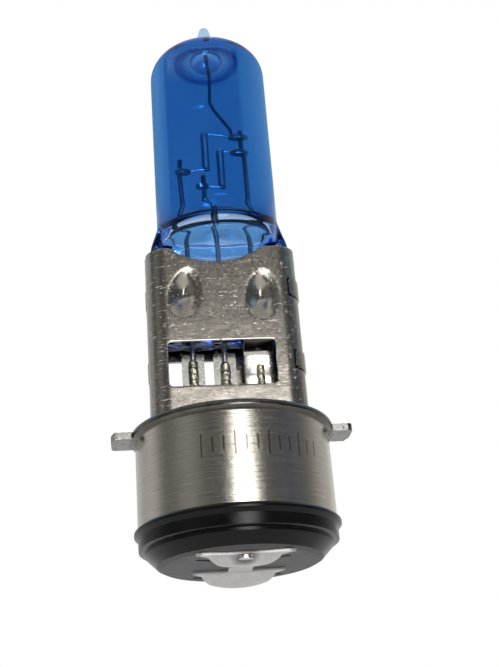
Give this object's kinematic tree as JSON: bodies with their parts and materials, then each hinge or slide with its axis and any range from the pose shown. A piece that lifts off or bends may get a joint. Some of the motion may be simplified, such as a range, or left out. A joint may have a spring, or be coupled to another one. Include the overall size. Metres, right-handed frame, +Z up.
{
  "type": "headlight bulb",
  "caption": "Twin-filament motorcycle headlight bulb: blue glass capsule in a pressed sheet holder on a short bayonet cap with two ears, black insulator and two domed contact plates.",
  "frame": {"origin": "on the cap's axis, in the plane of the ears' underside, where the bulb seats in its socket", "axes": "+Z up the bulb's axis to the glass tip, X along the ears and the width of the glass pinch, -Y the side of the front holder with its dimples"},
  "size_m": [0.025, 0.021, 0.0679],
  "materials": {
    "blue_glass": "clear blue-dyed quartz, polished",
    "tungsten": "fine coiled tungsten wire",
    "support_wire": "drawn molybdenum wire",
    "clamp_sheet": "thin folded sheet",
    "foil": "thin bright foil",
    "weld": "lumpy bright weld metal",
    "strip_steel": "plain plated strip",
    "holder_nickel": "nickel plated sheet with fine scratches",
    "collar_nickel": "nickel plated, darker rounded edge",
    "cap_nickel": "turned nickel plate with vertical streaks",
    "insulator": "glossy black moulded wall, matte bottom face",
    "contact_metal": "satin tinned sheet",
    "solder": "bright solder"
  },
  "bodies": {
    "root": {"glass_capsule": "blue_glass", "main_filament": "tungsten", "dip_filament": "tungsten", "main_support": "support_wire", "dip_support": "support_wire", "common_support": "support_wire", "tip_anchor": "support_wire", "main_clamp": "clamp_sheet", "dip_clamp": "clamp_sheet", "upper_common_clamp": "clamp_sheet", "lower_common_clamp": "clamp_sheet", "main_foil": "foil", "dip_foil": "foil", "common_foil": "foil", "main_lead": "support_wire", "dip_lead": "support_wire", "common_lead": "support_wire", "main_weld": "weld", "dip_weld": "weld", "common_weld": "weld", "main_strip": "strip_steel", "dip_strip": "strip_steel", "front_holder": "holder_nickel", "rear_holder": "holder_nickel", "bayonet_collar": "collar_nickel", "cap_shell": "cap_nickel", "base_insulator": "insulator", "main_contact": "contact_metal", "dip_contact": "contact_metal", "main_solder": "solder", "dip_solder": "solder"}
  },
  "joints": []
}
